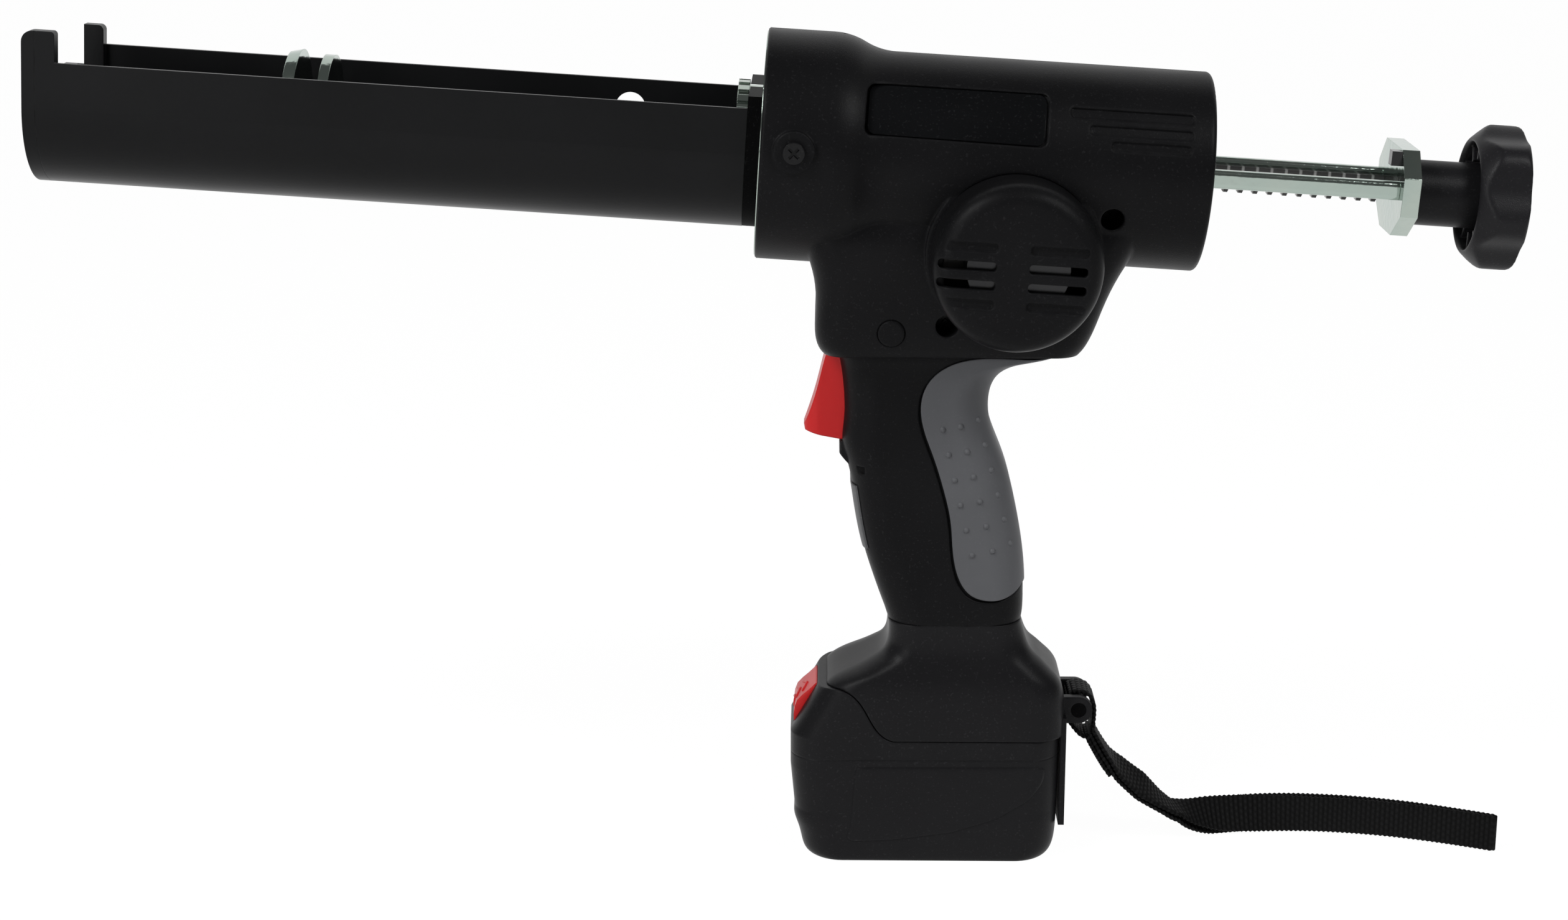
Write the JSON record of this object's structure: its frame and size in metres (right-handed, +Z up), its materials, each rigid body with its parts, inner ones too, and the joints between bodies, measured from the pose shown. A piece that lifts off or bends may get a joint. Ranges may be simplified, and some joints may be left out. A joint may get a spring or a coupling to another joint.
{
  "type": "cordless caulking tool",
  "caption": "Battery caulking tool with an open cartridge cradle, railed push rod with pull knob, pistol grip with trigger, sliding battery pack and wrist strap",
  "frame": {"origin": "middle of the flat base of the battery, on which the tool stands", "axes": "+X towards the pull knob, +Y to the right side of the tool, +Z up"},
  "size_m": [0.4825, 0.091, 0.2786],
  "materials": {
    "black_nylon": "fine spark-eroded texture",
    "grey_grip": "soft matt overmould",
    "red_plastic": "satin moulded",
    "label": "blank satin label",
    "black_steel": "satin powder coat",
    "zinc_steel": "bright zinc plate",
    "dark_steel": "oiled hardened steel",
    "bronze": "sintered bronze",
    "copper_alloy": "spring bronze",
    "cell": "shrink sleeve",
    "board": "solder mask",
    "webbing": "woven webbing"
  },
  "bodies": {
    "tool_body": {"left_housing": "black_nylon", "right_housing": "black_nylon", "housing_screws": "black_steel", "spigot_flange": "zinc_steel", "lock_ring": "zinc_steel", "frame_plate_left": "zinc_steel", "frame_plate_right": "zinc_steel", "frame_posts": "zinc_steel", "shaft_bushes": "bronze", "motor_can": "zinc_steel", "gearbox_case": "dark_steel", "motor_cover": "black_nylon", "rear_guide": "black_nylon", "switch_body": "black_nylon", "control_board": "board", "grip_overmould": "grey_grip", "finger_insert": "grey_grip", "label_plate": "label", "side_plug": "black_nylon", "battery_foot": "black_nylon", "terminal_block": "black_nylon", "terminal_blades": "copper_alloy", "lug_pin": "zinc_steel", "strap_hanger": "webbing", "strap_tail": "webbing"},
    "cradle": {"cradle_trough": "black_steel", "cradle_front_plate": "black_steel", "cradle_rear_plate": "black_steel"},
    "push_rod": {"left_rail": "zinc_steel", "right_rail": "zinc_steel", "left_rack": "dark_steel", "right_rack": "dark_steel", "end_plate": "zinc_steel", "limit_nut": "zinc_steel", "knob_stem": "black_nylon", "pull_knob": "black_nylon", "pusher_disc": "zinc_steel", "piston_disc": "zinc_steel", "plunger_bolt": "zinc_steel"},
    "rack_shaft": {"pinion_shaft": "dark_steel", "left_pinion": "dark_steel", "right_pinion": "dark_steel", "final_gear": "dark_steel"},
    "output_shaft": {"output_pinion": "dark_steel"},
    "trigger": {"trigger": "red_plastic", "trigger_spring": "zinc_steel"},
    "battery": {"battery_upper_case": "black_nylon", "battery_lower_case": "black_nylon", "battery_cells": "cell", "cell_straps": "zinc_steel", "battery_board": "board", "battery_contacts": "copper_alloy"},
    "latch": {"battery_latch": "red_plastic", "latch_spring": "zinc_steel"}
  },
  "joints": [
    {"name": "rod_slide", "type": "slide", "parent": "tool_body", "child": "push_rod", "axis": [-0.998, 0, 0.0637], "range_m": [-0.118, 0.054]},
    {"name": "rack_shaft_turn", "type": "hinge", "parent": "tool_body", "child": "rack_shaft", "pos_m": [0.00537, 0, 0.21982], "axis": [0, 1, 0], "range_deg": [-230.2, 501.8]},
    {"name": "output_shaft_turn", "type": "hinge", "parent": "tool_body", "child": "output_shaft", "pos_m": [0.0255, 0, 0.2087], "axis": [0, 1, 0], "range_deg": [-1420, 650.4]},
    {"name": "cradle_swivel", "type": "hinge", "parent": "tool_body", "child": "cradle", "pos_m": [-0.05729, 0, 0.24016], "axis": [0.998, 0, -0.0637], "continuous": true},
    {"name": "trigger_pull", "type": "slide", "parent": "tool_body", "child": "trigger", "axis": [1, 0, 0], "range_m": [0, 0.006], "stiffness_N_per_m": 900, "springref_m": -0.004, "deforming": ["trigger_spring"]},
    {"name": "battery_slide", "type": "slide", "parent": "tool_body", "child": "battery", "axis": [-1, 0, 0], "range_m": [0, 0.09]},
    {"name": "latch_press", "type": "slide", "parent": "battery", "child": "latch", "axis": [0.866, 0, -0.5], "range_m": [0, 0.0025], "stiffness_N_per_m": 800, "springref_m": -0.002, "deforming": ["latch_spring"]}
  ],
  "couplings": [
    {"joint": "rack_shaft_turn", "follows": "rod_slide", "rad_per_m": -74.074},
    {"joint": "output_shaft_turn", "follows": "rod_slide", "rad_per_m": 209.88}
  ]
}
